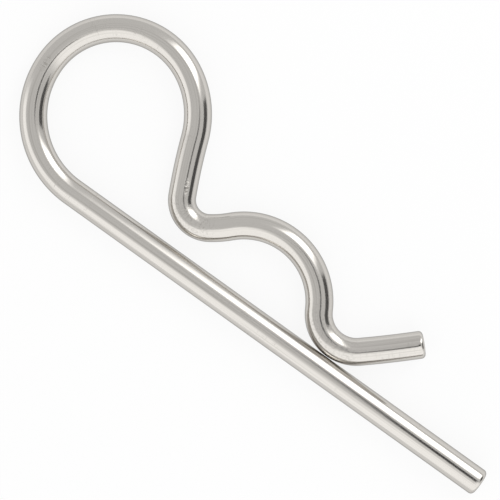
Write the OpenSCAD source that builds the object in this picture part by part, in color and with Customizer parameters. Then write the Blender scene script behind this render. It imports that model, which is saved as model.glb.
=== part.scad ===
// Hitch R clip: one round spring wire, bent in one plane.
// The straight shank goes through the cross hole of a hitch pin, the hump of the spring leg
// snaps over the outside of that pin, and the bow is the handle that pulls the clip out.
//
// Frame: the shank's axis is X, with the free end on +X. The spring leg lies on +Y.
// The origin is where the held pin's axis, which is Z, crosses the shank's axis.

/* [Wire] */
// Diameter of the wire
wire_d = 4; // [2.5:0.1:5]
// Rounding of the cut edge at both ends of the wire
end_round = 0.6; // [0.2:0.1:1]

/* [Shank] */
// From the middle of the seat to the free end of the shank
shank_reach = 42.6; // [30:0.1:80]

/* [Bow] */
// Inside radius of the bow
bow_in_r = 9.5; // [7.5:0.05:14]
// Inside radius of the wider bends that lead into the bow, from the shank and from the arm
lead_in_r = 11.3; // [9:0.1:16]
// Turn of the wider bend at the shank, in degrees
lead_turn_angle = 91; // [50:1:110]
// Turn of the wider bend at the arm, in degrees
shoulder_turn_angle = 41; // [20:1:60]
// Slope of the arm where it leaves the bow, down towards the shank
arm_slope_angle = 69.5; // [54:0.5:80]
// Radius of the arm, which is all but straight
arm_r = 85; // [50:5:400]

/* [Neck] */
// Inside radius of the tight bend at the foot of the arm
neck_in_r = 2; // [1:0.1:3]
// Radius of the ramp that rises from the tight bend to the seat
ramp_r = 15; // [8:0.5:25]
// Turn of the ramp, in degrees
ramp_turn_angle = 12; // [5:0.5:20]
// Slope of the ramp where it meets the seat
ramp_slope_angle = 45.5; // [38:0.5:50]

/* [Seat] */
// Inside radius of the hump that lies over the held pin
seat_in_r = 8.8; // [7:0.1:11]
// Height of the hump's inside above the shank's axis, which is the radius of the largest pin
seat_height = 10.4; // [9:0.1:14]

/* [Throat] */
// Inside radius of the bend that closes the leg on the shank
throat_in_r = 3.4; // [2:0.1:6]
// Gap between that bend and the shank
throat_gap = 0.05; // [0.05:0.05:3]

/* [Tail] */
// Slope of the tail where it leaves the throat
tail_slope_angle = 40.5; // [20:0.5:70]
// Radius of the tail, which is all but straight
tail_r = 150; // [60:10:400]
// Length of the tail
tail_length = 9.25; // [4:0.25:20]

/* [Hidden] */
$fn = 96;

wire_r = wire_d / 2;

// Most of the wire's radius that the rounding of an end can take up
edge_share = 0.45;
// How far the arc of that rounding runs past the wire's surface, in shares of its radius
edge_past_share = 1 / 16;
// Steps to a degree or a millimetre that worked-out headings and places are kept to
kept_steps = 1000;

// Radii of the wire's middle line in the bends that are given by their inside radius
lead_r = lead_in_r + wire_r;
bow_r = bow_in_r + wire_r;
neck_r = neck_in_r + wire_r;
seat_r = seat_in_r + wire_r;
throat_r = throat_in_r + wire_r;

// Headings are in degrees from +X
function kept(value) = round(value * kept_steps) / kept_steps;
shank_out = 180;
lead_out = shank_out - lead_turn_angle;
bow_out = shoulder_turn_angle - arm_slope_angle;
shoulder_out = -arm_slope_angle;
neck_out = ramp_slope_angle - ramp_turn_angle;
tail_out = kept(tail_slope_angle + tail_length / tail_r * 180 / PI);
// The tail is drawn a little longer than it is, and cut off at its end
tail_drawn = kept(tail_slope_angle + (tail_length + wire_d) / tail_r * 180 / PI);

// Heights of the bends' centres over the shank's axis
bow_y = lead_r + (lead_r - bow_r) * cos(lead_out);
shoulder_y = bow_y - (lead_r - bow_r) * cos(bow_out);
arm_y = shoulder_y + (lead_r + arm_r) * cos(shoulder_out);
seat_y = seat_height + wire_r - seat_r;
ramp_y = seat_y + (seat_r + ramp_r) * cos(ramp_slope_angle);
neck_y = ramp_y - (ramp_r - neck_r) * cos(neck_out);
throat_y = wire_d + throat_gap + throat_r;

// The arm is as long as it takes to come down to the neck,
// and the hump turns as far as it takes to set the throat on the shank.
arm_out = kept(-acos((arm_y - neck_y) / (arm_r - neck_r)));
seat_out = kept(-acos((throat_y - seat_y) / (throat_r + seat_r)));

// The bends in order from the shank, each as its radius and the headings in and out of it.
// The radius is positive where the wire turns to the left, and negative to the right.
bends = [
    [-lead_r, shank_out, lead_out],
    [-bow_r, lead_out, bow_out],
    [-lead_r, bow_out, shoulder_out],
    [arm_r, shoulder_out, arm_out],
    [neck_r, arm_out, neck_out],
    [ramp_r, neck_out, ramp_slope_angle],
    [-seat_r, ramp_slope_angle, seat_out],
    [throat_r, seat_out, tail_slope_angle],
    [tail_r, tail_slope_angle, tail_drawn],
];
seat_bend = 6;
tail_bend = len(bends) - 1;

// Unit vector to the left of a heading
function left(heading) = [-sin(heading), cos(heading)];

// Centre of a bend, seen from the end of the shank: neighbours share the line through both centres
function offset_of(i) = i == 0
    ? [0, lead_r]
    : offset_of(i - 1) + (bends[i][0] - bends[i - 1][0]) * left(bends[i][1]);
bow_x = -offset_of(seat_bend).x;
function centre(i) = [bow_x, 0] + offset_of(i);

// Moves to a point in two steps, whole microns and then the rest, so that the ends of bends meet exactly
module at(point) {
    whole = [for (v = point) kept(v)];
    translate(whole)
        translate(point - whole)
            children();
}

// One bend of the wire
module bend(i) {
    radius = bends[i][0];
    from = bends[i][1] - 90 * sign(radius);
    to = bends[i][2] - 90 * sign(radius);
    at(centre(i))
        rotate_extrude(start = min(from, to), angle = abs(to - from))
            translate([abs(radius), 0])
                circle(d = wire_d);
}

// Room that a cut end keeps within: a flat end on Z = 0 with a rounded edge, and plenty of room below it.
// The edge's arc runs a little past the wire's surface, and crosses it at an angle.
module end_room(length) {
    edge_r = min(end_round, edge_share * wire_r);
    edge_x = wire_r - edge_r + edge_past_share * edge_r;
    rotate_extrude() {
        translate([0, -edge_r])
            square([edge_x, edge_r]);
        translate([edge_x, -edge_r])
            circle(r = edge_r);
        translate([0, -length - wire_d])
            square([wire_d, length + wire_d - edge_r]);
    }
}

// The straight shank with its free end
module shank() {
    length = shank_reach - bow_x;
    intersection() {
        at([bow_x, 0, 0])
            rotate([0, 90, 0])
                cylinder(d = wire_d, h = length + wire_d);
        translate([shank_reach, 0, 0])
            rotate([0, 90, 0])
                end_room(length);
    }
}

// The flared tail with its free end
module tail() {
    end = centre(tail_bend) - tail_r * left(tail_out);
    intersection() {
        bend(tail_bend);
        translate(end)
            rotate([0, 90, tail_out])
                end_room(tail_length);
    }
}

// The whole clip
module r_clip() {
    color("silver") {
        shank();
        for (i = [0 : tail_bend - 1])
            bend(i);
        tail();
    }
}

r_clip();
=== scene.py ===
"""Looks of a hitch R clip: one bright drawn spring wire, lying flat on a pale table.

Lengths are in metres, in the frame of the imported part. The shank's axis is X with its free end
on +X, the spring leg lies on +Y, and the held pin's axis is Z through the origin.
"""

import logging
import math
from dataclasses import dataclass, field
from enum import Enum

import bpy
from mathutils import Matrix, Vector

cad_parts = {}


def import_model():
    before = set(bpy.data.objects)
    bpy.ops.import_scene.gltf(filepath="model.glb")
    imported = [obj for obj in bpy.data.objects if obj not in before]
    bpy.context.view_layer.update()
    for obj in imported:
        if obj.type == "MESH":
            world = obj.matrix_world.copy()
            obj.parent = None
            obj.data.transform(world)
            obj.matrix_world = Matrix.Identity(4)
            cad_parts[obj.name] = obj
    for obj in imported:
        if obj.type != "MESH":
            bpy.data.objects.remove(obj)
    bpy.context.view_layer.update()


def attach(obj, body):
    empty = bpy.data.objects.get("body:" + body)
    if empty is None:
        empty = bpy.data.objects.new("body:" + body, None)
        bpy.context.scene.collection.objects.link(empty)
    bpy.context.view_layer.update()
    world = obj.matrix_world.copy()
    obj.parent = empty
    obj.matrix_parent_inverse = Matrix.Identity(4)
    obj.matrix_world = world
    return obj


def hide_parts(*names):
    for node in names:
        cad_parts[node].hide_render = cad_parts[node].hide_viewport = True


LOG = logging.getLogger("r_clip")
MM_TO_THE_METRE = 1000

Socket = bpy.types.NodeSocket
Colour = tuple[float, float, float, float]
Range = tuple[float, float]

WHITE: Colour = (1.0, 1.0, 1.0, 1.0)

# Names of the attributes on the wire's points
ALONG = "along"
STRAIGHT = "straight"
CUT_END = "cut_end"
STRAIN = "strain"

# Heading of the shank on its way from its free end, in degrees from +X
SHANK_HEADING = 180.0
# Zenith of the horizon, in degrees
HORIZON = 90.0
# Middle of a lamp's face, on which both coordinates run from 0 to 1
FACE_MIDDLE = 0.5
# Least length to divide by, for a look straight up or down
LEAST_LENGTH = 0.001


class Turn(Enum):
    """The side that a bend turns to, seen from +Z by someone who walks along the wire."""

    LEFT = 1
    RIGHT = -1


class Seed(Enum):
    """The noise patterns of the finish, each with the seed that sets it apart."""

    FINE_LINES = 3.0
    BROAD_LINES = 11.0
    CLOUDS = 23.0
    RUBS = 37.0
    GRAIN = 41.0
    SCUFFS = 53.0


class Bench:
    """A node tree, with short ways to add nodes and join them."""

    def __init__(self, tree: bpy.types.NodeTree) -> None:
        """Starts from an empty tree.

        Args:
            tree: The tree to fill. What it holds is taken out.
        """
        self.tree = tree
        self.tree.nodes.clear()

    def add(self, kind: str, **settings: object) -> bpy.types.Node:
        """Adds a node and sets its properties.

        Args:
            kind: The node's type name.
            settings: Properties of the node, by name.

        Returns:
            The new node.
        """
        node = self.tree.nodes.new(kind)
        for name, value in settings.items():
            setattr(node, name, value)
        return node

    def feed(self, target: Socket, source: object) -> None:
        """Links a socket to another one, or sets its value.

        Args:
            target: The input socket.
            source: An output socket, or a plain value.
        """
        if isinstance(source, Socket):
            self.tree.links.new(source, target)
        else:
            target.default_value = source

    def math(self, operation: str, *terms: object) -> Socket:
        """Adds a Math node.

        Args:
            operation: The name of the operation.
            terms: Sockets or numbers, in order.

        Returns:
            The result's socket.
        """
        node = self.add("ShaderNodeMath", operation=operation)
        for socket, term in zip(node.inputs, terms):
            self.feed(socket, term)
        return node.outputs[0]

    def vector(self, operation: str, *terms: object) -> bpy.types.NodeOutputs:
        """Adds a Vector Math node.

        Args:
            operation: The name of the operation.
            terms: Sockets or vectors, in order.

        Returns:
            The node's outputs, of which operations use either "Vector" or "Value".
        """
        node = self.add("ShaderNodeVectorMath", operation=operation)
        for socket, term in zip(node.inputs, terms):
            self.feed(socket, term)
        return node.outputs

    def scaled(self, vector: Socket, factors: tuple[float, float, float]) -> Socket:
        """Multiplies a vector by three factors.

        Args:
            vector: The vector's socket.
            factors: One factor for each axis.

        Returns:
            The product's socket.
        """
        return self.vector("MULTIPLY", vector, factors)["Vector"]

    def noise(self, vector: Socket, seed: Seed, detail: float = 2.0) -> Socket:
        """Adds seeded noise of one cell to the unit.

        Args:
            vector: Where the noise is read.
            seed: The pattern, whose seed is the fourth coordinate.
            detail: Octaves of finer noise.

        Returns:
            The socket of the noise, from 0 to 1.
        """
        node = self.add("ShaderNodeTexNoise", noise_dimensions="4D")
        self.feed(node.inputs["Vector"], vector)
        self.feed(node.inputs["W"], seed.value)
        self.feed(node.inputs["Scale"], 1.0)
        self.feed(node.inputs["Detail"], detail)
        return node.outputs["Fac"]

    def ramp(self, value: Socket, start: float, end: float) -> Socket:
        """Maps a range of a value smoothly to 0 to 1.

        Args:
            value: The value's socket.
            start: What maps to 0.
            end: What maps to 1.

        Returns:
            The mapped value's socket.
        """
        node = self.add("ShaderNodeMapRange", interpolation_type="SMOOTHSTEP")
        self.feed(node.inputs["Value"], value)
        self.feed(node.inputs["From Min"], start)
        self.feed(node.inputs["From Max"], end)
        return node.outputs["Result"]


@dataclass(frozen=True)
class Bend:
    """One bend of the wire, an arc of its middle line.

    Attributes:
        name: The stretch of the wire that it is.
        radius: Radius of the middle line.
        turn: The side it turns to.
        heading_in: Heading at its start, in degrees from +X.
        heading_out: Heading at its end.
    """

    name: str
    radius: float
    turn: Turn
    heading_in: float
    heading_out: float

    def length(self) -> float:
        """Length of the arc."""
        return self.radius * math.radians(abs(self.heading_out - self.heading_in))

    def spoke(self, heading: float) -> Vector:
        """Vector from the middle line to the bend's centre, at a heading."""
        angle = math.radians(heading)
        return self.turn.value * self.radius * Vector((-math.sin(angle), math.cos(angle), 0.0))

    def point(self, start: Vector, share: float) -> Vector:
        """A point of the arc.

        Args:
            start: Where the arc starts.
            share: How far along it the point lies, from 0 to 1.

        Returns:
            The point, on the middle line.
        """
        heading = self.heading_in + share * (self.heading_out - self.heading_in)
        return start + self.spoke(self.heading_in) - self.spoke(heading)


@dataclass(frozen=True)
class WireRoute:
    """The way of the wire's middle line, from the shank's free end to the tail's.

    Attributes:
        wire_d: Diameter of the wire.
        shank_reach: From the origin to the shank's free end.
        bow_in_r: Inside radius of the bow.
        lead_in_r: Inside radius of the wider bends before and after the bow.
        lead_turn: Turn of the wider bend at the shank, in degrees.
        shoulder_turn: Turn of the wider bend at the arm.
        arm_slope: Slope of the arm where it leaves the bow, in degrees.
        arm_r: Radius of the arm, which is all but straight.
        neck_in_r: Inside radius of the tight bend at the arm's foot.
        ramp_r: Radius of the ramp that rises from there.
        ramp_turn: Turn of the ramp.
        ramp_slope: Slope of the ramp where it meets the hump.
        seat_in_r: Inside radius of the hump.
        seat_height: Height of the hump's inside above the shank's axis.
        throat_in_r: Inside radius of the bend that closes on the shank.
        throat_gap: Gap between that bend and the shank.
        tail_slope: Slope of the tail where it leaves the throat.
        tail_r: Radius of the tail, which is all but straight.
        tail_length: Length of the tail.
        end_round: Rounding of the cut edge at both ends.
        pin_run: Length of wire over which the strain of a bend evens out.
        station_step: Longest step between two points of the line.
        station_turn: Largest turn between two points, in degrees.
        end_stations: Steps in the rounding of an end.
    """

    wire_d: float = 0.004
    shank_reach: float = 0.0426
    bow_in_r: float = 0.0095
    lead_in_r: float = 0.0113
    lead_turn: float = 91.0
    shoulder_turn: float = 41.0
    arm_slope: float = 69.5
    arm_r: float = 0.085
    neck_in_r: float = 0.002
    ramp_r: float = 0.015
    ramp_turn: float = 12.0
    ramp_slope: float = 45.5
    seat_in_r: float = 0.0088
    seat_height: float = 0.0104
    throat_in_r: float = 0.0034
    throat_gap: float = 0.00005
    tail_slope: float = 40.5
    tail_r: float = 0.15
    tail_length: float = 0.00925
    end_round: float = 0.0006
    pin_run: float = 0.003
    station_step: float = 0.0004
    station_turn: float = 2.0
    end_stations: int = 10

    def bends(self) -> list[Bend]:
        """The bends in order from the shank.

        The arm is as long as it takes to come down to the neck, and the hump turns as far as it
        takes to set the throat on the shank.

        Returns:
            The nine bends.
        """
        wire_r = self.wire_d / 2
        lead_r = self.lead_in_r + wire_r
        bow_r = self.bow_in_r + wire_r
        neck_r = self.neck_in_r + wire_r
        seat_r = self.seat_in_r + wire_r
        throat_r = self.throat_in_r + wire_r
        lead_out = SHANK_HEADING - self.lead_turn
        bow_out = self.shoulder_turn - self.arm_slope
        neck_out = self.ramp_slope - self.ramp_turn
        tail_out = self.tail_slope + math.degrees(self.tail_length / self.tail_r)

        bow_y = lead_r + (lead_r - bow_r) * math.cos(math.radians(lead_out))
        shoulder_y = bow_y - (lead_r - bow_r) * math.cos(math.radians(bow_out))
        arm_y = shoulder_y + (lead_r + self.arm_r) * math.cos(math.radians(self.arm_slope))
        seat_y = self.seat_height + wire_r - seat_r
        ramp_y = seat_y + (seat_r + self.ramp_r) * math.cos(math.radians(self.ramp_slope))
        neck_y = ramp_y - (self.ramp_r - neck_r) * math.cos(math.radians(neck_out))
        throat_y = self.wire_d + self.throat_gap + throat_r
        arm_out = -math.degrees(math.acos((arm_y - neck_y) / (self.arm_r - neck_r)))
        seat_out = -math.degrees(math.acos((throat_y - seat_y) / (throat_r + seat_r)))

        return [
            Bend("lead", lead_r, Turn.RIGHT, SHANK_HEADING, lead_out),
            Bend("bow", bow_r, Turn.RIGHT, lead_out, bow_out),
            Bend("shoulder", lead_r, Turn.RIGHT, bow_out, -self.arm_slope),
            Bend("arm", self.arm_r, Turn.LEFT, -self.arm_slope, arm_out),
            Bend("neck", neck_r, Turn.LEFT, arm_out, neck_out),
            Bend("ramp", self.ramp_r, Turn.LEFT, neck_out, self.ramp_slope),
            Bend("hump", seat_r, Turn.RIGHT, self.ramp_slope, seat_out),
            Bend("throat", throat_r, Turn.LEFT, seat_out, self.tail_slope),
            Bend("tail", self.tail_r, Turn.LEFT, self.tail_slope, tail_out),
        ]

    def shank_start(self) -> float:
        """X of the place where the shank runs into the bow.

        Returns:
            The place that puts the middle of the hump over the origin.
        """
        at = Vector((0.0, 0.0, 0.0))
        for bend in self.bends():
            if bend.name == "hump":
                break
            at = bend.point(at, 1.0)
        return -(at + bend.spoke(bend.heading_in)).x

    def length(self) -> float:
        """Length of the whole wire."""
        shank = self.shank_reach - self.shank_start()
        return shank + sum(bend.length() for bend in self.bends())

    def strain(self, along: float) -> float:
        """How far the wire's skin is stretched or squeezed by its bend.

        Args:
            along: Length along the wire from the shank's free end.

        Returns:
            The wire's radius over the bend's, evened out over the run of the bending pin.
        """
        runs = [(self.shank_reach - self.shank_start(), 0.0)]
        runs += [(bend.length(), self.wire_d / 2 / bend.radius) for bend in self.bends()]
        low, high = along - self.pin_run / 2, along + self.pin_run / 2
        start = 0.0
        found = 0.0
        for length, strain in runs:
            found += strain * max(min(start + length, high) - max(start, low), 0.0)
            start += length
        return found / self.pin_run

    def stations(self) -> list[tuple[Vector, float]]:
        """Points of the middle line, close together in bends and at the ends.

        Returns:
            Pairs of a point and its length along the wire from the shank's free end.
        """
        start = self.shank_start()
        shank = self.shank_reach - start
        body = shank - self.end_round
        quarter = math.pi / 2
        turns = [quarter * k / self.end_stations for k in range(self.end_stations + 1)]
        nose = [self.end_round * (1 - math.cos(turn)) for turn in turns]
        runs = math.ceil(body / self.station_step)
        marks = nose + [self.end_round + body * k / runs for k in range(1, runs + 1)]
        found = [(Vector((self.shank_reach - mark, 0.0, 0.0)), mark) for mark in marks]

        at = Vector((start, 0.0, 0.0))
        along = shank
        bends = self.bends()
        for bend in bends:
            last = bend is bends[-1]
            reach = bend.length() - self.end_round if last else bend.length()
            turned = abs(bend.heading_out - bend.heading_in)
            parts = math.ceil(max(reach / self.station_step, turned / self.station_turn))
            marks = [reach * k / parts for k in range(1, parts + 1)]
            if last:
                marks += [bend.length() - mark for mark in reversed(nose[:-1])]
            found += [(bend.point(at, mark / bend.length()), along + mark) for mark in marks]
            at = bend.point(at, 1.0)
            along += bend.length()
        return found


class WireTree:
    """The Geometry Nodes tree that draws a round wire along a line of edges."""

    def __init__(self) -> None:
        """Builds the tree with named inputs for the wire's sizes."""
        self.tree = bpy.data.node_groups.new("drawn_wire", "GeometryNodeTree")
        self.bench = Bench(self.tree)
        sockets = self.tree.interface
        sockets.new_socket("Middle line", in_out="INPUT", socket_type="NodeSocketGeometry")
        for name in ("Wire radius", "Wire length", "End rounding"):
            sockets.new_socket(name, in_out="INPUT", socket_type="NodeSocketFloat")
        sockets.new_socket("Sides", in_out="INPUT", socket_type="NodeSocketInt")
        sockets.new_socket("Finish", in_out="INPUT", socket_type="NodeSocketMaterial")
        sockets.new_socket("Wire", in_out="OUTPUT", socket_type="NodeSocketGeometry")
        self._grow()

    def _grow(self) -> None:
        """Adds the nodes: the radius along the wire, the sweep, the attributes and the finish."""
        bench = self.bench
        given = bench.add("NodeGroupInput").outputs
        rounding = given["End rounding"]
        along = bench.add("GeometryNodeInputNamedAttribute", data_type="FLOAT")
        bench.feed(along.inputs["Name"], ALONG)
        along_wire = along.outputs["Attribute"]

        to_tail = bench.math("SUBTRACT", given["Wire length"], along_wire)
        from_end = bench.math("MINIMUM", along_wire, to_tail)
        bite = bench.math("MAXIMUM", bench.math("SUBTRACT", rounding, from_end), 0.0)
        squares = [bench.math("POWER", length, 2.0) for length in (rounding, bite)]
        bulge = bench.math("SQRT", bench.math("MAXIMUM", bench.math("SUBTRACT", *squares), 0.0))
        flat = bench.math("SUBTRACT", given["Wire radius"], rounding)
        radius = bench.math("ADD", flat, bulge)
        cut_end = bench.math("DIVIDE", bite, rounding)

        line = bench.add("GeometryNodeMeshToCurve")
        bench.feed(line.inputs["Mesh"], given["Middle line"])
        upright = bench.add("GeometryNodeSetCurveNormal", mode="Z_UP")
        bench.feed(upright.inputs["Curve"], line.outputs["Curve"])

        ring = bench.add("GeometryNodeCurvePrimitiveCircle")
        bench.feed(ring.inputs["Resolution"], given["Sides"])
        bench.feed(ring.inputs["Radius"], 1.0)
        kept = bench.add("GeometryNodeCaptureAttribute", domain="POINT")
        kept.capture_items.new("VECTOR", "Round")
        bench.feed(kept.inputs["Geometry"], ring.outputs["Curve"])
        bench.feed(kept.inputs["Round"], bench.add("GeometryNodeInputPosition").outputs[0])

        sweep = bench.add("GeometryNodeCurveToMesh")
        bench.feed(sweep.inputs["Curve"], upright.outputs["Curve"])
        bench.feed(sweep.inputs["Profile Curve"], kept.outputs["Geometry"])
        bench.feed(sweep.inputs["Scale"], radius)
        bench.feed(sweep.inputs["Fill Caps"], True)

        across = bench.add("ShaderNodeVectorMath", operation="SCALE")
        bench.feed(across.inputs[0], kept.outputs["Round"])
        bench.feed(across.inputs["Scale"], radius)
        split = bench.add("ShaderNodeSeparateXYZ")
        bench.feed(split.inputs[0], across.outputs[0])
        straight = bench.add("ShaderNodeCombineXYZ")
        bench.feed(straight.inputs["X"], split.outputs["X"])
        bench.feed(straight.inputs["Y"], split.outputs["Y"])
        bench.feed(straight.inputs["Z"], along_wire)

        wire = sweep.outputs["Mesh"]
        wire = self._stored(wire, STRAIGHT, "FLOAT_VECTOR", straight.outputs[0])
        wire = self._stored(wire, CUT_END, "FLOAT", cut_end)
        smooth = bench.add("GeometryNodeSetShadeSmooth")
        bench.feed(smooth.inputs["Geometry"], wire)
        whole = bench.add("GeometryNodeRealizeInstances")
        bench.feed(whole.inputs["Geometry"], smooth.outputs["Geometry"])
        dressed = bench.add("GeometryNodeSetMaterial")
        bench.feed(dressed.inputs["Geometry"], whole.outputs["Geometry"])
        bench.feed(dressed.inputs["Material"], given["Finish"])
        bench.feed(bench.add("NodeGroupOutput").inputs[0], dressed.outputs["Geometry"])

    def _stored(self, geometry: Socket, name: str, data_type: str, value: Socket) -> Socket:
        """Stores a value on the points under a name.

        Args:
            geometry: The geometry's socket.
            name: The attribute's name.
            data_type: The attribute's type.
            value: The value's socket.

        Returns:
            The socket of the geometry that holds the attribute.
        """
        node = self.bench.add("GeometryNodeStoreNamedAttribute", domain="POINT")
        node.data_type = data_type
        self.bench.feed(node.inputs["Geometry"], geometry)
        self.bench.feed(node.inputs["Name"], name)
        self.bench.feed(node.inputs["Value"], value)
        return node.outputs["Geometry"]

    def sweep(self, line: bpy.types.Object, sizes: dict[str, object]) -> bpy.types.Mesh:
        """Runs the tree on a line of edges.

        Args:
            line: The object that holds the line. It is deleted.
            sizes: The tree's inputs by name.

        Returns:
            The wire as a plain mesh.
        """
        modifier = line.modifiers.new("drawn_wire", "NODES")
        modifier.node_group = self.tree
        for item in self.tree.interface.items_tree:
            if item.in_out == "INPUT" and item.name in sizes:
                modifier[item.identifier] = sizes[item.name]
        bpy.context.view_layer.update()
        depsgraph = bpy.context.evaluated_depsgraph_get()
        drawn = line.evaluated_get(depsgraph)
        mesh = bpy.data.meshes.new_from_object(drawn, depsgraph=depsgraph)
        line.modifiers.remove(modifier)
        bpy.data.objects.remove(line)
        return mesh


@dataclass(frozen=True)
class Scuff:
    """A patch of the upper side that a tool has scuffed.

    Attributes:
        along: Length along the wire from the shank's free end to the patch's middle.
        aside: How far to the left the middle lies, as a share of the wire's radius.
        reach: Half the patch's width, and half its length along the wire.
        fade: Shares of the reach from which the patch fades in, and at which it is whole.
    """

    along: float
    aside: float
    reach: tuple[float, float]
    fade: Range = (1.0, 0.5)

    def mask(self, bench: Bench, place: Socket, wire_r: float) -> Socket:
        """A mask of the patch.

        Args:
            bench: The material's tree.
            place: Coordinates on the straightened wire, whose X points right and Y down.
            wire_r: The wire's radius.

        Returns:
            The mask's socket.
        """
        wide, long = self.reach
        up = math.sqrt(1 - self.aside**2)
        middle = (-self.aside * wire_r, -up * wire_r, self.along)
        from_middle = bench.vector("SUBTRACT", place, middle)["Vector"]
        shares = bench.scaled(from_middle, (1 / wide, 1 / wide, 1 / long))
        return bench.ramp(bench.vector("LENGTH", shares)["Value"], *self.fade)


@dataclass(frozen=True)
class BrightWire:
    """The finish of the wire: bright drawn stainless steel.

    It carries fine lines along the wire from the drawing die, a faint cloudiness, rub marks across
    it, two scuffs of the bending tool, a few pits, a roughened skin in the tight bends, and a
    duller face on the cropped ends. Each kind of mark is a mask. Its range runs from where the
    mask starts to where it is whole. Its shade is how far it takes the colour to the shaded one,
    its rough is what it adds to the roughness, and its depth is in shares of the relief.

    Attributes:
        steel: Colour of the clean steel.
        shaded_steel: Colour in the marks.
        edge_tint: Tint of reflections at a grazing angle.
        roughness: Roughness of the clean steel.
        relief: Height of the drawn lines.
        line_width: Width of a fine drawn line.
        line_length: Length of a fine drawn line.
        broad_times: How many times as large the broad lines are.
        fine_share: Share of the fine lines in the pattern of both.
        cloud_size: Size of a cloud.
        cloud_detail: Octaves of finer clouds.
        rub_width: Width of a rub mark, along the wire.
        rub_length: Length of a rub mark, round the wire.
        rub_clouds: Range of the clouds that rub marks lie in.
        scuffs: The scuffed patches.
        peel_size: Size of a grain in the roughened skin.
        peel_strain: Range of the strain that roughens it.
        pit_spacing: Size of the cells that may hold a pit.
        pit_edge: Range of a pit's edge, in cells from its middle.
        pit_choice: Range of the draw that gives a cell its pit.
        mark_rough: What rub marks and pits add to the roughness.
    """

    steel: Colour = (0.64, 0.615, 0.579, 1.0)
    shaded_steel: Colour = (0.48, 0.458, 0.425, 1.0)
    edge_tint: Colour = (0.5, 0.5, 0.5, 1.0)
    roughness: float = 0.12
    relief: float = 0.000006
    line_width: float = 0.00022
    line_length: float = 0.03
    broad_times: float = 3.0
    fine_share: float = 0.6
    line_range: Range = (0.46, 0.7)
    line_shade: float = 0.85
    cloud_size: float = 0.004
    cloud_detail: float = 3.0
    cloud_range: Range = (0.3, 0.7)
    cloud_rough: float = 0.04
    rub_width: float = 0.00014
    rub_length: float = 0.0012
    rub_range: Range = (0.56, 0.72)
    rub_clouds: Range = (0.5, 0.62)
    rub_shade: float = 0.7
    scuffs: tuple[Scuff, ...] = (
        Scuff(along=0.1329, aside=0.24, reach=(0.0004, 0.0016)),
        Scuff(along=0.0919, aside=0.2, reach=(0.0006, 0.0016)),
    )
    scuff_range: Range = (0.42, 0.56)
    scuff_shade: float = 1.0
    scuff_depth: float = 2.0
    peel_size: float = 0.00026
    peel_range: Range = (0.45, 0.7)
    peel_strain: Range = (0.1, 0.45)
    peel_shade: float = 0.7
    peel_depth: float = 0.5
    pit_spacing: float = 0.0034
    pit_edge: Range = (0.07, 0.03)
    pit_choice: Range = (0.8, 0.85)
    pit_shade: float = 0.8
    mark_rough: float = 0.15
    cut_range: Range = (0.8, 1.0)
    cut_rough: float = 0.15

    def material(self, wire_r: float) -> bpy.types.Material:
        """Builds the material.

        Args:
            wire_r: The wire's radius.

        Returns:
            The material, on the coordinates of the straightened wire.
        """
        material = bpy.data.materials.new("bright_drawn_wire")
        material.use_nodes = True
        bench = Bench(material.node_tree)
        place = bench.add("ShaderNodeAttribute", attribute_name=STRAIGHT).outputs["Vector"]
        cut = bench.add("ShaderNodeAttribute", attribute_name=CUT_END).outputs["Fac"]

        cells = bench.scaled(place, (1 / self.cloud_size,) * 3)
        cloud = bench.noise(cells, Seed.CLOUDS, self.cloud_detail)
        lines = self._lines(bench, place)
        rubs = self._hoops(bench, place, Seed.RUBS, self.rub_range)
        rubs = bench.math("MULTIPLY", rubs, bench.ramp(cloud, *self.rub_clouds))
        scuffed = self._scuffed(bench, place, wire_r)
        peel = self._peel(bench, place)
        pits = self._pits(bench, place)

        shade = bench.math("MULTIPLY", bench.ramp(lines, *self.line_range), self.line_shade)
        for mask, share in (
            (peel, self.peel_shade),
            (rubs, self.rub_shade),
            (pits, self.pit_shade),
            (scuffed, self.scuff_shade),
        ):
            shade = bench.math("MAXIMUM", shade, bench.math("MULTIPLY", mask, share))
        colour = bench.add("ShaderNodeMix", data_type="RGBA")
        bench.feed(colour.inputs["Factor"], shade)
        bench.feed(colour.inputs["A"], self.steel)
        bench.feed(colour.inputs["B"], self.shaded_steel)

        rough: Socket | float = self.roughness
        for mask, added in (
            (bench.ramp(cloud, *self.cloud_range), self.cloud_rough),
            (bench.ramp(cut, *self.cut_range), self.cut_rough),
            (bench.math("MAXIMUM", pits, rubs), self.mark_rough),
        ):
            rough = bench.math("MULTIPLY_ADD", mask, added, rough)
        depth = bench.math("MULTIPLY_ADD", peel, self.peel_depth, pits)
        depth = bench.math("MULTIPLY_ADD", scuffed, self.scuff_depth, depth)
        bump = bench.add("ShaderNodeBump")
        bench.feed(bump.inputs["Height"], bench.math("SUBTRACT", lines, depth))
        bench.feed(bump.inputs["Distance"], self.relief)
        bench.feed(bump.inputs["Strength"], 1.0)

        surface = bench.add("ShaderNodeBsdfPrincipled")
        bench.feed(surface.inputs["Base Color"], colour.outputs["Result"])
        bench.feed(surface.inputs["Metallic"], 1.0)
        bench.feed(surface.inputs["Specular Tint"], self.edge_tint)
        bench.feed(surface.inputs["Roughness"], rough)
        bench.feed(surface.inputs["Normal"], bump.outputs["Normal"])
        output = bench.add("ShaderNodeOutputMaterial")
        bench.feed(output.inputs["Surface"], surface.outputs["BSDF"])
        return material

    def _lines(self, bench: Bench, place: Socket) -> Socket:
        """The pattern of the drawn lines, fine and broad.

        Args:
            bench: The material's tree.
            place: Coordinates on the straightened wire.

        Returns:
            The pattern's socket, from 0 to 1.
        """
        thin = (1 / self.line_width, 1 / self.line_width, 1 / self.line_length)
        wide = tuple(factor / self.broad_times for factor in thin)
        fine = bench.noise(bench.scaled(place, thin), Seed.FINE_LINES)
        broad = bench.noise(bench.scaled(place, wide), Seed.BROAD_LINES)
        fine = bench.math("MULTIPLY", fine, self.fine_share)
        return bench.math("MULTIPLY_ADD", broad, 1 - self.fine_share, fine)

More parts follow.
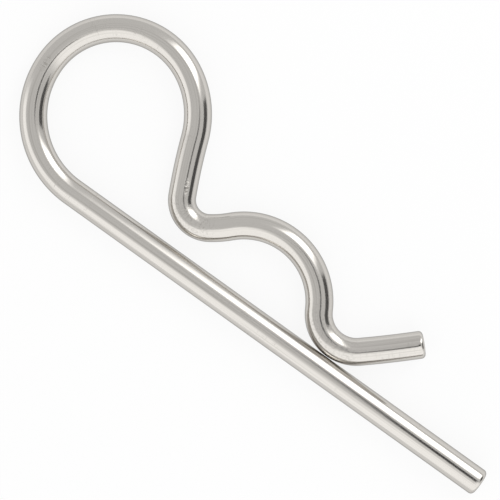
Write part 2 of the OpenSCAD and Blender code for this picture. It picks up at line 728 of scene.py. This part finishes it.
    def _hoops(self, bench: Bench, place: Socket, seed: Seed, whole: Range) -> Socket:
        """A mask of short marks round the wire.

        Args:
            bench: The material's tree.
            place: Coordinates on the straightened wire.
            seed: The pattern.
            whole: The mask's range.

        Returns:
            The mask's socket.
        """
        hoops = (1 / self.rub_length, 1 / self.rub_length, 1 / self.rub_width)
        return bench.ramp(bench.noise(bench.scaled(place, hoops), seed), *whole)

    def _scuffed(self, bench: Bench, place: Socket, wire_r: float) -> Socket:
        """A mask of the marks in the scuffed patches.

        Args:
            bench: The material's tree.
            place: Coordinates on the straightened wire.
            wire_r: The wire's radius.

        Returns:
            The mask's socket.
        """
        patches: Socket | float = 0.0
        for scuff in self.scuffs:
            patches = bench.math("MAXIMUM", patches, scuff.mask(bench, place, wire_r))
        marks = self._hoops(bench, place, Seed.SCUFFS, self.scuff_range)
        return bench.math("MULTIPLY", patches, marks)

    def _peel(self, bench: Bench, place: Socket) -> Socket:
        """A mask of the grains that stand out where a tight bend strains the skin.

        Args:
            bench: The material's tree.
            place: Coordinates on the straightened wire.

        Returns:
            The mask's socket.
        """
        strain = bench.add("ShaderNodeAttribute", attribute_name=STRAIN).outputs["Fac"]
        grain = bench.noise(bench.scaled(place, (1 / self.peel_size,) * 3), Seed.GRAIN)
        strained = bench.ramp(strain, *self.peel_strain)
        return bench.math("MULTIPLY", bench.ramp(grain, *self.peel_range), strained)

    def _pits(self, bench: Bench, place: Socket) -> Socket:
        """A mask of small pits, in few of many cells.

        Args:
            bench: The material's tree.
            place: Coordinates on the straightened wire.

        Returns:
            The mask's socket.
        """
        cells = bench.add("ShaderNodeTexVoronoi")
        bench.feed(cells.inputs["Vector"], bench.scaled(place, (1 / self.pit_spacing,) * 3))
        bench.feed(cells.inputs["Scale"], 1.0)
        chosen = bench.add("ShaderNodeSeparateColor")
        bench.feed(chosen.inputs["Color"], cells.outputs["Color"])
        near = bench.ramp(cells.outputs["Distance"], *self.pit_edge)
        return bench.math("MULTIPLY", near, bench.ramp(chosen.outputs["Red"], *self.pit_choice))


@dataclass
class RClip:
    """The clip: one wire along its route, in its finish.

    Attributes:
        route: The way of the wire.
        finish: The wire's finish.
        sides: Faces round the wire.
    """

    route: WireRoute = field(default_factory=WireRoute)
    finish: BrightWire = field(default_factory=BrightWire)
    sides: int = 72

    def middle_line(self) -> bpy.types.Object:
        """The wire's middle line as a chain of edges.

        Returns:
            An object of edges alone, with the length along the wire and the strain on its points.
        """
        stations = self.route.stations()
        mesh = bpy.data.meshes.new("middle_line")
        edges = [(k, k + 1) for k in range(len(stations) - 1)]
        mesh.from_pydata([point for point, _ in stations], edges, [])
        along = mesh.attributes.new(ALONG, "FLOAT", "POINT")
        along.data.foreach_set("value", [mark for _, mark in stations])
        strain = mesh.attributes.new(STRAIN, "FLOAT", "POINT")
        strain.data.foreach_set("value", [self.route.strain(mark) for _, mark in stations])
        line = bpy.data.objects.new("middle_line", mesh)
        bpy.context.scene.collection.objects.link(line)
        return line

    def build(self) -> bpy.types.Object:
        """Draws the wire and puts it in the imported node's place.

        Returns:
            The wire's object, at the origin.
        """
        wire_r = self.route.wire_d / 2
        length = self.route.length()
        sizes = {
            "Wire radius": wire_r,
            "Wire length": length,
            "End rounding": self.route.end_round,
            "Sides": self.sides,
            "Finish": self.finish.material(wire_r),
        }
        mesh = WireTree().sweep(self.middle_line(), sizes)
        mesh.name = "bent_wire"
        wire = bpy.data.objects.new("bent_wire", mesh)
        bpy.context.scene.collection.objects.link(wire)
        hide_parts("r_clip")
        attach(wire, "root")
        points = len(mesh.vertices)
        LOG.info("%s: %d points, %.1f mm of wire", wire.name, points, length * MM_TO_THE_METRE)
        return wire


@dataclass(frozen=True)
class View:
    """The camera, straight above the clip.

    Attributes:
        middle: The point of the clip's plane in the middle of the picture.
        roll: Turn of the picture's right side from +X, in degrees.
        width: Width of the clip's plane that the picture shows.
        focal: Focal length, in millimetres.
        sensor: Width of the sensor, in millimetres.
    """

    middle: Vector = Vector((-0.00353, 0.00804, 0.0))
    roll: float = 35.61
    width: float = 0.07143
    focal: float = 200.0
    sensor: float = 36.0

    def turned(self, azimuth: float, zenith: float) -> Vector:
        """A direction from the clip.

        Args:
            azimuth: Degrees from the picture's right side towards its top.
            zenith: Degrees from the way to the camera.

        Returns:
            A unit vector in the part's frame.
        """
        around = math.radians(azimuth + self.roll)
        down = math.radians(zenith)
        flat = math.sin(down)
        return Vector((flat * math.cos(around), flat * math.sin(around), math.cos(down)))

    def place(self) -> None:
        """Makes the camera and sets it as the scene's."""
        data = bpy.data.cameras.new("camera")
        data.lens = self.focal
        data.sensor_width = self.sensor
        camera = bpy.data.objects.new("camera", data)
        distance = self.width * self.focal / self.sensor
        camera.location = self.middle + Vector((0.0, 0.0, distance))
        camera.rotation_euler = (0.0, 0.0, math.radians(self.roll))
        bpy.context.scene.collection.objects.link(camera)
        bpy.context.scene.camera = camera


def facing(view: View, azimuth: float, zenith: float, distance: float) -> Matrix:
    """The place of a panel that faces the middle of the clip.

    Args:
        view: The view that the direction is counted in.
        azimuth: Degrees from the picture's right side towards its top.
        zenith: Degrees from the way to the camera.
        distance: From the clip to the panel.

    Returns:
        A matrix whose -Z points at the clip.
    """
    way = view.turned(azimuth, zenith)
    place = Matrix.Translation(view.middle + distance * way)
    return place @ (-way).to_track_quat("-Z", "Y").to_matrix().to_4x4()


@dataclass(frozen=True)
class Softbox:
    """A soft lamp that faces the clip.

    Attributes:
        name: What it is called.
        azimuth: Degrees from the picture's right side towards its top.
        zenith: Degrees from the way to the camera.
        size: Width and height.
        level: How bright the middle of its face is, where 1 is white.
        fade: Shares of its width and height over which the face fades to its edges.
        distance: From the clip to its middle.
    """

    name: str
    azimuth: float
    zenith: float
    size: tuple[float, float]
    level: float
    fade: tuple[float, float]
    distance: float

    def place(self, view: View) -> None:
        """Makes the lamp.

        Args:
            view: The view that its direction is counted in.
        """
        lamp = bpy.data.lights.new(self.name, "AREA")
        lamp.shape = "RECTANGLE"
        lamp.size, lamp.size_y = self.size
        # The energy that gives each point of the face the level, all round
        lamp.energy = self.level * math.pi * self.size[0] * self.size[1]
        lamp.use_nodes = True
        bench = Bench(lamp.node_tree)
        face = bench.add("ShaderNodeSeparateXYZ")
        bench.feed(face.inputs[0], bench.add("ShaderNodeNewGeometry").outputs["Parametric"])
        across, up = (
            self._faded(bench, face.outputs[axis], fade) for axis, fade in zip("XY", self.fade)
        )
        light = bench.add("ShaderNodeEmission")
        bench.feed(light.inputs["Strength"], bench.math("MULTIPLY", across, up))
        bench.feed(bench.add("ShaderNodeOutputLight").inputs["Surface"], light.outputs[0])
        panel = bpy.data.objects.new(self.name, lamp)
        panel.matrix_world = facing(view, self.azimuth, self.zenith, self.distance)
        panel.visible_camera = False
        bpy.context.scene.collection.objects.link(panel)

    @staticmethod
    def _faded(bench: Bench, place: Socket, fade: float) -> Socket:
        """How bright the face is along one of its sides.

        Args:
            bench: The lamp's tree.
            place: The place along that side, from 0 to 1.
            fade: Share of the side over which the light fades to each end.

        Returns:
            The socket of the brightness, from 0 to 1.
        """
        off = bench.math("ABSOLUTE", bench.math("SUBTRACT", place, FACE_MIDDLE))
        return bench.ramp(off, FACE_MIDDLE, FACE_MIDDLE - fade)


@dataclass(frozen=True)
class DarkCard:
    """A dark card beside the lamps, for the dark lines in the steel.

    Attributes:
        name: What it is called.
        azimuth: Degrees from the picture's right side towards its top.
        zenith: Degrees from the way to the camera.
        size: Width and height.
        shade: How bright it is.
        roll: Its turn in its own plane, in degrees.
        taper: Width of its upper edge, as a share of the lower one's.
        distance: From the clip to its middle.
    """

    name: str
    azimuth: float
    zenith: float
    size: tuple[float, float]
    shade: float
    roll: float = 0.0
    taper: float = 1.0
    distance: float = 0.3

    def place(self, view: View) -> None:
        """Makes the card, which only the steel sees.

        Args:
            view: The view that its direction is counted in.
        """
        wide, high = (length / 2 for length in self.size)
        top = self.taper * wide
        corners = ((-wide, -high), (wide, -high), (top, high), (-top, high))
        matrix = facing(view, self.azimuth, self.zenith, self.distance)
        matrix = matrix @ Matrix.Rotation(math.radians(self.roll), 4, "Z")
        mesh = bpy.data.meshes.new(self.name)
        points = [matrix @ Vector((x, y, 0.0)) for x, y in corners]
        mesh.from_pydata(points, [], [(0, 1, 2, 3)])
        material = bpy.data.materials.new(self.name)
        material.use_nodes = True
        bench = Bench(material.node_tree)
        glow = bench.add("ShaderNodeEmission")
        bench.feed(glow.inputs["Strength"], self.shade)
        bench.feed(bench.add("ShaderNodeOutputMaterial").inputs["Surface"], glow.outputs[0])
        mesh.materials.append(material)
        card = bpy.data.objects.new(self.name, mesh)
        card.visible_camera = False
        card.visible_diffuse = False
        bpy.context.scene.collection.objects.link(card)


@dataclass(frozen=True)
class Room:
    """The even light of the room, with a paler wall on one side.

    Attributes:
        level: How bright the room is, where 1 is white.
        wall_level: How bright the pale wall is.
        wall_azimuth: Degrees from the picture's right side to the middle of the wall.
        wall_reach: Degrees from the wall's middle to where it ends, and to where it is whole.
        ceiling: Azimuth and zenith of the middle of the ceiling, which the wall ends at.
        ceiling_reach: Degrees from there to the wall's upper edge, and to where it is whole.
    """

    level: float = 0.714
    wall_level: float = 1.3
    wall_azimuth: float = -116.0
    wall_reach: Range = (92.0, 72.0)
    ceiling: tuple[float, float] = (167.0, 27.0)
    ceiling_reach: Range = (27.0, 38.0)

    def light(self, view: View) -> None:
        """Sets the room as the scene's world.

        Args:
            view: The view that directions are counted in.
        """
        world = bpy.data.worlds.new("room")
        world.use_nodes = True
        bench = Bench(world.node_tree)
        way = bench.add("ShaderNodeTexCoord").outputs["Generated"]
        parts = bench.add("ShaderNodeSeparateXYZ")
        bench.feed(parts.inputs[0], way)
        rise = bench.math("POWER", parts.outputs["Z"], 2.0)
        flat = bench.math("SQRT", bench.math("SUBTRACT", 1.0, rise))

        to_wall = view.turned(self.wall_azimuth, HORIZON)
        beside = bench.vector("DOT_PRODUCT", way, to_wall)["Value"]
        beside = bench.math("DIVIDE", beside, bench.math("MAXIMUM", flat, LEAST_LENGTH))
        above = bench.vector("DOT_PRODUCT", way, view.turned(*self.ceiling))["Value"]
        wall = bench.math(
            "MULTIPLY",
            self._within(bench, beside, self.wall_reach),
            self._within(bench, above, self.ceiling_reach),
        )
        added = self.wall_level - self.level
        light = bench.add("ShaderNodeBackground")
        bench.feed(light.inputs["Color"], WHITE)
        bench.feed(light.inputs["Strength"], bench.math("MULTIPLY_ADD", wall, added, self.level))
        bench.feed(bench.add("ShaderNodeOutputWorld").inputs["Surface"], light.outputs[0])
        bpy.context.scene.world = world

    @staticmethod
    def _within(bench: Bench, cosine: Socket, reach: Range) -> Socket:
        """A mask of directions by their angle from another one.

        Args:
            bench: The world's tree.
            cosine: The cosine of the angle.
            reach: Degrees to where the mask starts, and to where it is whole.

        Returns:
            The mask's socket.
        """
        return bench.ramp(cosine, *(math.cos(math.radians(edge)) for edge in reach))


@dataclass
class Studio:
    """The table, the lamps and the camera.

    Attributes:
        view: The camera.
        floor_z: Height of the table, which the wire lies on.
        floor_reach: From the clip to the table's edges.
        floor_colour: Colour of the table's paint.
        glow: Share of plain white in the table, as the camera and the steel see it.
        glow_level: How bright that white is.
        room: The light of the room.
        softboxes: The lamps.
        cards: The dark cards.
    """

    view: View = field(default_factory=View)
    floor_z: float = -0.002
    floor_reach: float = 20.0
    floor_colour: Colour = (0.95, 0.95, 0.95, 1.0)
    glow: float = 0.86
    glow_level: float = 1.0
    room: Room = field(default_factory=Room)
    softboxes: tuple[Softbox, ...] = (
        Softbox(
            "key",
            azimuth=42.8,
            zenith=51.7,
            size=(0.22, 0.38),
            level=2.5,
            fade=(0.45, 0.25),
            distance=0.38,
        ),
    )
    cards: tuple[DarkCard, ...] = (
        DarkCard("side_card", azimuth=-2.4, zenith=66.0, size=(0.181, 0.164), shade=0.1, roll=10.0),
        DarkCard("overhead_card", azimuth=12.2, zenith=12.8, size=(0.05, 0.034), shade=0.12),
        DarkCard(
            "end_card",
            azimuth=-23.7,
            zenith=10.1,
            size=(0.24, 0.075),
            shade=0.0,
            roll=-11.8,
            taper=0.6,
            distance=0.61,
        ),
    )

    def build(self) -> None:
        """Makes the table, the room's light, the lamps, the cards and the camera."""
        self.view.place()
        self.room.light(self.view)
        self._table()
        for panel in (*self.softboxes, *self.cards):
            panel.place(self.view)
            LOG.info("studio: %s", panel.name)

    def _table(self) -> None:
        """Makes the pale table under the clip."""
        reach = self.floor_reach
        mesh = bpy.data.meshes.new("table")
        corners = [(-reach, -reach), (reach, -reach), (reach, reach), (-reach, reach)]
        mesh.from_pydata([(x, y, self.floor_z) for x, y in corners], [], [(0, 1, 2, 3)])
        material = bpy.data.materials.new("pale_table")
        material.use_nodes = True
        bench = Bench(material.node_tree)
        paint = bench.add("ShaderNodeBsdfDiffuse")
        bench.feed(paint.inputs["Color"], self.floor_colour)
        white = bench.add("ShaderNodeEmission")
        bench.feed(white.inputs["Strength"], self.glow_level)
        rays = bench.add("ShaderNodeLightPath").outputs
        seen = bench.math("MAXIMUM", rays["Is Camera Ray"], rays["Is Glossy Ray"])
        seen = bench.math("MAXIMUM", seen, rays["Is Transmission Ray"])
        mixed = bench.add("ShaderNodeMixShader")
        bench.feed(mixed.inputs[0], bench.math("MULTIPLY", seen, self.glow))
        bench.feed(mixed.inputs[1], paint.outputs[0])
        bench.feed(mixed.inputs[2], white.outputs[0])
        bench.feed(bench.add("ShaderNodeOutputMaterial").inputs["Surface"], mixed.outputs[0])
        mesh.materials.append(material)
        table = bpy.data.objects.new("table", mesh)
        bpy.context.scene.collection.objects.link(table)


def main() -> None:
    """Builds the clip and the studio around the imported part."""
    logging.basicConfig(level=logging.INFO, format="%(message)s")
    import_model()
    bpy.context.scene.view_settings.view_transform = "Standard"
    RClip().build()
    Studio().build()


if __name__ == "__main__":
    main()
